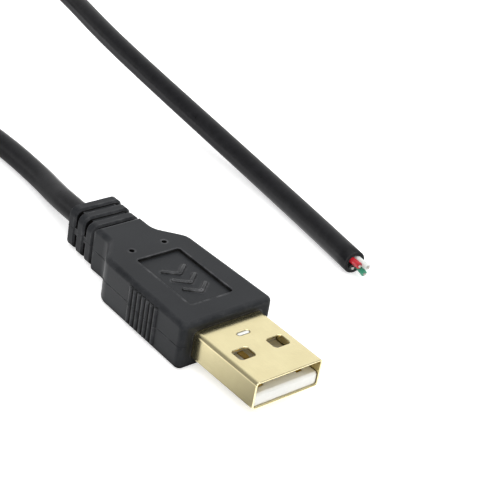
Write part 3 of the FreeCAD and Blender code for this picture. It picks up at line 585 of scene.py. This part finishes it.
# %% Make the tone and the relief
GRAIN_SHARE = 0.4
TONE_SPREAD = (-0.6, 1.6)
RELIEF_DEPTH = 0.02 * MM
ROUNDING_RAYS = 6
where = add_node(surface, "ShaderNodeTexCoord").outputs["Object"]
stretched = calculate_place(surface, "MULTIPLY", where, given["Stretch"], result="Vector")
drift = noise(surface, where, given["Drift"], detail=3.0, roughness=0.6)
grain = noise(surface, stretched, given["Grain"], detail=4.0, roughness=0.65)
mottle = mix(surface, "FLOAT", GRAIN_SHARE, drift, grain)
tone = mix(surface, "RGBA", ramp(surface, mottle, 0, 1, *TONE_SPREAD), given["Dark"], given["Light"])
rounded = add_node(surface, "ShaderNodeBevel", {"samples": ROUNDING_RAYS}, Radius=given["Rounding"])
relief = add_node(surface, "ShaderNodeBump", Distance=RELIEF_DEPTH, Strength=given["Relief"],
                  Height=grain, Normal=rounded.outputs["Normal"])
feed(surface, relief.outputs["Normal"], made["Normal"])
print("surface group nodes", len(surface.nodes))

# %% [markdown]
# ## Rubbed edges and painted highlights, dust and painted shade
# Handling rubs the edges of a plug until they are paler, and the same paler band stands in for the
# highlights that edges catch, so it is partly rubbing and partly painted highlight. A ray that looks
# inwards from the surface leaves it soon near an edge, and this share, broken up by noise, makes the
# paler edges. The same kind of ray, sent outwards, finds corners and hollows: the narrow ones get dust
# and painted shade, the deep ones painted shade, so both are darker and duller there. Painting the
# marks by hand would tie them to one shape.

# %% Add the paler rubbed edges, which are partly painted highlights
SHORT_RAYS = 8
EDGE_RANGE = (0.985, 0.9)
PATCH_SCALE = 600.0
PATCH_RANGE = (0.42, 0.68)
# Paler edges, partly rubbed and partly a painted highlight where edges would catch the light.
within = add_node(surface, "ShaderNodeAmbientOcclusion", {"samples": SHORT_RAYS, "inside": True},
                  Distance=given["Wear Reach"])
edge = ramp(surface, within.outputs["AO"], *EDGE_RANGE)
patch = ramp(surface, noise(surface, where, PATCH_SCALE, detail=6.0, roughness=0.6), *PATCH_RANGE)
wear = calculate(surface, "MULTIPLY", calculate(surface, "MULTIPLY", edge, patch), given["Wear"])
worn = mix(surface, "RGBA", wear, tone, given["Worn"])
print("surface group nodes", len(surface.nodes))

# %% Add dust and painted shade in corners, and painted shade in hollows
HOLLOW_REACH = 2.5 * MM
HOLLOW_RANGE = (0.8, 0.35)
CORNER_REACH = 0.4 * MM
CORNER_RANGE = (0.85, 0.35)
DUST_AND_SHADE_COLOUR = (0.02, 0.017, 0.01)
DULL = 0.9


def closed_in(reach, limits, amount, colour, under):
    """Paints shade on what stands close to other faces, and gives the shaded colour and how closed in it
    is.
    """
    open_air = add_node(surface, "ShaderNodeAmbientOcclusion", {"samples": SHORT_RAYS}, Distance=reach)
    share = calculate(surface, "MULTIPLY", ramp(surface, open_air.outputs["AO"], *limits), amount)
    return mix(surface, "RGBA", share, under, colour), share


# Painted shade in deep hollows, then dust with painted shade in narrow corners, which also dull the shine.
shaded, shade_share = closed_in(HOLLOW_REACH, HOLLOW_RANGE, given["Shade"], given["Shade Color"], worn)
dusty_and_shaded, corner_dust_shade_share = closed_in(CORNER_REACH, CORNER_RANGE, given["Grime"], DUST_AND_SHADE_COLOUR, shaded)
closed = calculate(surface, "MAXIMUM", shade_share, corner_dust_shade_share)
shine = ramp(surface, mottle, 0, 1, given["Smoothest"], given["Roughest"])
feed(surface, dusty_and_shaded, made["Color"])
feed(surface, mix(surface, "FLOAT", closed, shine, DULL), made["Roughness"])
print("surface group nodes", len(surface.nodes))

# %% [markdown]
# ## A maker of finishes
# Each finish on the real cable is a material of its own, but they are all built alike. So one function
# makes a material, places the surface group in it and joins it to the shader, and each finish is then
# a line of values. What is the same all over, such as being metal, is set on the shader itself, where
# an exported model keeps it.

# %% Write the maker


def finish(name, dark, light, smoothest, roughest, metallic=0.0, specular=0.5, **effects):
    """A material with its two tones and its shine, and the surface group's other inputs by name."""
    material = bpy.data.materials.new(name)
    material.use_nodes = True
    material.diffuse_color = (*light, 1)
    tree = material.node_tree
    placed = add_node(tree, "ShaderNodeGroup", {"node_tree": surface}, Dark=dark, Light=light,
                      Smoothest=smoothest, Roughest=roughest)
    for effect, value in effects.items():
        feed(tree, value, placed.inputs[effect.replace("_", " ").title()])
    shader = tree.nodes["Principled BSDF"]
    for label, value in (("Metallic", metallic), ("Specular IOR Level", specular),
                         ("Base Color", placed.outputs["Color"]),
                         ("Roughness", placed.outputs["Roughness"]), ("Normal", placed.outputs["Normal"])):
        feed(tree, value, shader.inputs[label])
    return material


def dress(material, *names):
    """Gives a finish to CAD nodes and pieces."""
    for name in names:
        slots = bpy.data.objects[name].data.materials
        slots.clear()
        slots.append(material)


# %% [markdown]
# ## Metals
# The shell is steel with a thin pale gold plate, bright but not a perfect mirror, and paler along its
# edges, partly where they are rubbed and partly as a painted highlight. The contact strips are a warmer
# gold, the joints are grey solder, and the bare conductors are tinned copper. A picture of rolled metal
# would look right from one side only, so the plate's faint lines are noise that is stretched along the
# plug.

# %% Finish the metals
# The plate's paler edges are partly rubbing and partly painted highlight, and its corners get dust and
# painted shade.
gold_plate = finish("gold_plate", (0.74, 0.65, 0.38), (0.83, 0.745, 0.45), 0.15, 0.24, metallic=1.0,
                    relief=0.03, drift=300.0, grain=1500.0, stretch=(3, 0.3, 3), rounding=0.05 * MM,
                    wear=0.4, wear_reach=0.12 * MM, worn=(0.9, 0.84, 0.62), grime=0.3)
contact_plate = finish("contact_plate", (0.70, 0.50, 0.18), (0.85, 0.66, 0.28), 0.18, 0.28, metallic=1.0,
                       relief=0.05)
solder_metal = finish("solder_metal", (0.52, 0.53, 0.55), (0.72, 0.73, 0.75), 0.22, 0.35, metallic=1.0,
                      relief=0.3)
tinned_copper = finish("tinned_copper", (0.55, 0.50, 0.46), (0.82, 0.79, 0.76), 0.2, 0.3, metallic=1.0,
                       relief=0.2)
dress(gold_plate, "plug_shell")
for colour in COLOURS:
    dress(contact_plate, f"contact_{colour}")
    dress(solder_metal, f"solder_{colour}")
    dress(tinned_copper, f"wire_{colour}_core", f"end_{colour}_core", f"end_{colour}_strands")
print("materials", len(bpy.data.materials))

# %% [markdown]
# ## Black plastics
# Overmould and jacket are soft black plastic. The overmould has the fine matt grain of its mould, and
# fingers have polished the sign on it. The jacket was drawn through a die and is smoother and darker,
# and the strap is a rough web. One black for all would look flat, so they differ in shine and grain
# more than in colour.

# %% Finish the black plastics
PLUG_BLACK = ((0.012, 0.013, 0.015), (0.022, 0.024, 0.027))
# In these finishes the paler edges are partly rubbing and partly painted highlight, corners get dust and
# painted shade, and the overmould's hollows and slots get painted shade.
soft_black = finish("soft_black", *PLUG_BLACK, 0.34, 0.46, specular=0.15, relief=0.30,
                    rounding=0.08 * MM, wear=0.5, wear_reach=0.42 * MM, worn=(0.13, 0.13, 0.135),
                    grime=0.4, shade=1.0)
sign_black = finish("sign_black", *PLUG_BLACK, 0.20, 0.28, specular=0.25, relief=0.15,
                    rounding=0.08 * MM, wear=0.5, wear_reach=0.2 * MM, worn=(0.2, 0.2, 0.21), grime=0.6)
jacket_black = finish("jacket_black", (0.008, 0.008, 0.009), (0.018, 0.018, 0.020), 0.22, 0.38,
                      specular=0.11, relief=0.6, drift=700.0, grain=3000.0, wear=0.5,
                      wear_reach=0.3 * MM, worn=(0.06, 0.06, 0.06))
strap_black = finish("strap_black", (0.010, 0.010, 0.011), (0.030, 0.030, 0.032), 0.7, 0.9, relief=0.8,
                     grain=2500.0)
dress(soft_black, "overmould", "mould_seam")
dress(sign_black, "panel_sign")
dress(jacket_black, "plug_jacket_end", "cord")
dress(strap_black, "coil_tie", "strap_tongue")
print("materials", len(bpy.data.materials))

# %% [markdown]
# ## Pale plastics and insulation
# The insulator is a stiff white plastic between gold walls, so its hollows look warm and not grey.
# Light that enters the plastic would give this too, but takes many more samples, and a warm colour for
# its shade does the same. The insulation of the four conductors is one plastic in four colours, made
# by one loop.

# %% Finish the pale plastics and the insulation
INSULATION = {
    "red": ((0.42, 0.008, 0.018), (0.62, 0.02, 0.035)),
    "green": ((0.03, 0.26, 0.15), (0.06, 0.42, 0.26)),
    "white": ((0.72, 0.76, 0.72), (0.86, 0.88, 0.86)),
    "black": ((0.008, 0.010, 0.010), (0.020, 0.024, 0.022)),
}
# The insulator's corners get dust and painted shade, and its hollows a warm painted shade.
white_plastic = finish("white_plastic", (0.80, 0.80, 0.76), (0.92, 0.92, 0.88), 0.28, 0.38, relief=0.1,
                       rounding=0.3 * MM, grime=0.5, shade=0.7, shade_color=(0.46, 0.38, 0.20))
inner_plastic = finish("inner_plastic", (0.60, 0.60, 0.57), (0.74, 0.74, 0.71), 0.5, 0.6, relief=0.2)
dress(white_plastic, "plug_insulator")
dress(inner_plastic, "inner_mould")
for colour, (dark, light) in INSULATION.items():
    coat = finish(f"{colour}_insulation", dark, light, 0.22, 0.34, relief=0.1)
    dress(coat, f"wire_{colour}_insulation", f"end_{colour}_insulation")
print("materials", len(bpy.data.materials))

# %% [markdown]
# ## Floor
# The photograph has a plain white ground. The floor is a pale sheet that keeps the object's shadow, and
# the camera sees it a little brighter than it is lit, so that it comes out white. What the plating and
# the plastics mirror is the rest of the studio, which isn't even: it is dark before the overmould's
# face, and bright ahead of the nose, beside the plug and between the two runs of the cord. So mirrors
# see the floor darker or brighter by place. The same could be done with cards and black cloths round
# the object, but these would throw shadows and show up from other sides.

# %% Lay the floor
FLOOR_SIDE = 4.0
FLOOR_DROP = 0.02 * MM
bpy.ops.object.select_all(action="DESELECT")
bpy.ops.mesh.primitive_plane_add(size=FLOOR_SIDE, location=(0, 0, -FLOOR_DROP))
floor = newest()
floor.name = "floor"
print("floor is", FLOOR_SIDE, "m wide")

# %% Light the floor for mirrors, by place
# Each row says where the light starts and stops changing, and how strong it is at both places.
UNDER_SHELL = (-20.5 * MM, -7 * MM, 0.02, 0.72)
PAST_RELIEF = (24 * MM, 38 * MM, 1.0, 0.3)
AHEAD_OF_NOSE = (-21.5 * MM, -23.5 * MM, 0.0, 1.4)
LEFT_OF_TAIL = (36 * MM, 16 * MM, 0.0, 2.9)
RIGHT_OF_LEAD = (4 * MM, 10 * MM, 0.0, 1.0)
LANE_START = (-4 * MM, 4 * MM, 0.0, 1.0)
# This one is a round patch, and its row gives distances from the patch's middle.
BESIDE_PLUG = (24 * MM, 8 * MM, 0.0, 0.5)
BESIDE_PLACE = Vector((-18, 12, 0)) * MM

paper = bpy.data.materials.new("paper")
paper.use_nodes = True
tree = paper.node_tree
place = add_node(tree, "ShaderNodeTexCoord").outputs["Object"]
split = add_node(tree, "ShaderNodeSeparateXYZ", Vector=place)
across, along = split.outputs["X"], split.outputs["Y"]
strip = calculate(tree, "MULTIPLY", ramp(tree, along, *UNDER_SHELL), ramp(tree, along, *PAST_RELIEF))
strip = calculate(tree, "MAXIMUM", strip, ramp(tree, along, *AHEAD_OF_NOSE))
away = calculate_place(tree, "DISTANCE", place, BESIDE_PLACE)
pool = calculate(tree, "ADD", strip, ramp(tree, away, *BESIDE_PLUG))
lane = calculate(tree, "MULTIPLY", ramp(tree, across, *LEFT_OF_TAIL), ramp(tree, across, *RIGHT_OF_LEAD))
pool = calculate(tree, "MULTIPLY_ADD", lane, ramp(tree, along, *LANE_START), pool)
print("nodes that light the floor", len(tree.nodes))

# %% Finish the floor
PAPER = (0.86, 0.86, 0.86)
PAPER_IN_MIRRORS = (0.35, 0.35, 0.35)
PAPER_GLOW = 0.55
seen = add_node(tree, "ShaderNodeLightPath").outputs
glow = calculate(tree, "MULTIPLY_ADD", seen["Is Camera Ray"], PAPER_GLOW,
                 calculate(tree, "MULTIPLY", seen["Is Glossy Ray"], pool))
paper_shader = tree.nodes["Principled BSDF"]
for label, value in (("Base Color", mix(tree, "RGBA", seen["Is Glossy Ray"], PAPER, PAPER_IN_MIRRORS)),
                     ("Roughness", 0.9), ("Specular IOR Level", 0.1),
                     ("Emission Color", (1, 1, 1)), ("Emission Strength", glow)):
    feed(tree, value, paper_shader.inputs[label])
floor.data.materials.append(paper)
print("nodes of the floor", len(tree.nodes))

# %% [markdown]
# ## World and lamps
# The light is soft and even: a large lamp above, a weak one on the camera's side, and a faint one low
# behind the plug that draws its upper edges. The world is what stands round the table, and it is
# brighter beyond the plug than on the camera's side. The same could come from a picture of a studio,
# but one direction and two strengths are easier to change.

# %% Make the world
BRIGHT_SIDE = (0.62, 0.62, -0.2)
WORLD_SPREAD = (0.0, 0.55, 0.35, 1.1)
WHITE = 1.0
world = bpy.data.worlds.new("world")
scene.world = world
world.use_nodes = True
tree = world.node_tree
toward = add_node(tree, "ShaderNodeTexCoord").outputs["Generated"]
spread = ramp(tree, calculate_place(tree, "DOT_PRODUCT", toward, BRIGHT_SIDE), *WORLD_SPREAD)
camera_ray = add_node(tree, "ShaderNodeLightPath").outputs["Is Camera Ray"]
sky = tree.nodes["Background"]
feed(tree, (1, 1, 1), sky.inputs["Color"])
feed(tree, mix(tree, "FLOAT", camera_ray, spread, WHITE), sky.inputs["Strength"])
print("nodes of the world", len(tree.nodes))

# %% Hang the lamps
LAMPS = (
    ("overhead", (0.0, -0.15, 0.6), 0.9, 4.0, (0, 0, 0)),
    ("fill", (-0.35, -0.45, 0.3), 0.35, 0.9, (0, 0, 0)),
    ("rim", (-0.37, 0.55, 0.13), 0.26, 0.25, (0.04, 0.06, 0.0)),
)
for name, place, size, power, target in LAMPS:
    data = bpy.data.lights.new(name, "AREA")
    data.size = size
    data.energy = power
    lamp = bpy.data.objects.new(name, data)
    scene.collection.objects.link(lamp)
    lamp.location = place
    lamp.rotation_mode = "QUATERNION"
    lamp.rotation_quaternion = (Vector(target) - Vector(place)).to_track_quat("-Z", "Y")
    print("lamp", name, power, "watts")
scene.view_settings.view_transform = "Standard"

# %% [markdown]
# ## The pieces that sit on the cord
# All else here is stiff, but the cord bends. What sits on it beyond the strain relief is gathered in
# one list: the strap and the four cut conductors.

ON_THE_CORD = [parts["coil_tie"], tongue] + strand_bundles
ON_THE_CORD += [parts[f"end_{colour}_{kind}"] for colour in COLOURS for kind in ("insulation", "core")]
print("pieces on the cord", len(ON_THE_CORD))
